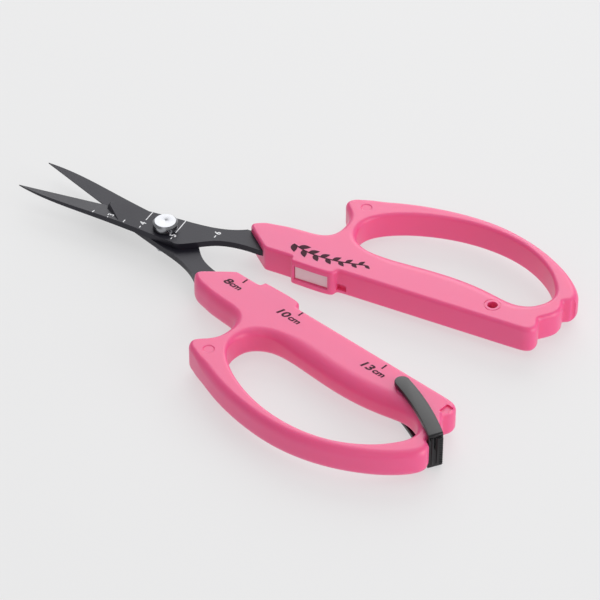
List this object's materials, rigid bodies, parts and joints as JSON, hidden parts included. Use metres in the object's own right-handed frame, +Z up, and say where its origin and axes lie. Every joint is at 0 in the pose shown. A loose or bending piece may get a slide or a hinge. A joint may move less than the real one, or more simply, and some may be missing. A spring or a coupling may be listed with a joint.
{
  "type": "floral snips",
  "caption": "Scissor-like floral snips with looped moulded handles, black blades on a pivot bolt, opposing magnets that spring them open and a swinging lock bail.",
  "frame": {"origin": "under the middle of the whole tool, in its resting open pose, on the plane it lies on", "axes": "+X from the blade tips to the handle ends along the line that halves the opening, +Z up out of the upper face, so the blades swing about Z"},
  "size_m": [0.1554, 0.1022, 0.011],
  "materials": {
    "blade_steel": "black coated, satin",
    "handle_plastic": "moulded, soft sheen",
    "bolt_steel": "polished",
    "nut_steel": "zinc plated",
    "magnet_nickel": "dull nickel",
    "bail_black": "black, satin"
  },
  "bodies": {
    "upper_half": {"upper_blade": "blade_steel", "back_handle": "handle_plastic", "back_magnet": "magnet_nickel", "pivot_bolt": "bolt_steel", "pivot_washer": "nut_steel", "pivot_nut": "nut_steel"},
    "lower_half": {"lower_blade": "blade_steel", "front_handle": "handle_plastic", "front_magnet": "magnet_nickel"},
    "bail": {"lock_bail": "bail_black"}
  },
  "joints": [
    {"name": "blade_pivot", "type": "hinge", "parent": "upper_half", "child": "lower_half", "pos_m": [-0.03185, 0, 0.0055], "axis": [0, 0, 1], "range_deg": [-14, 16.4], "stiffness_Nm_per_rad": 0.2},
    {"name": "bail_swing", "type": "hinge", "parent": "lower_half", "child": "bail", "pos_m": [0.05973, -0.0207, 0.0055], "axis": [0, 0, 1], "range_deg": [0, 58]}
  ]
}
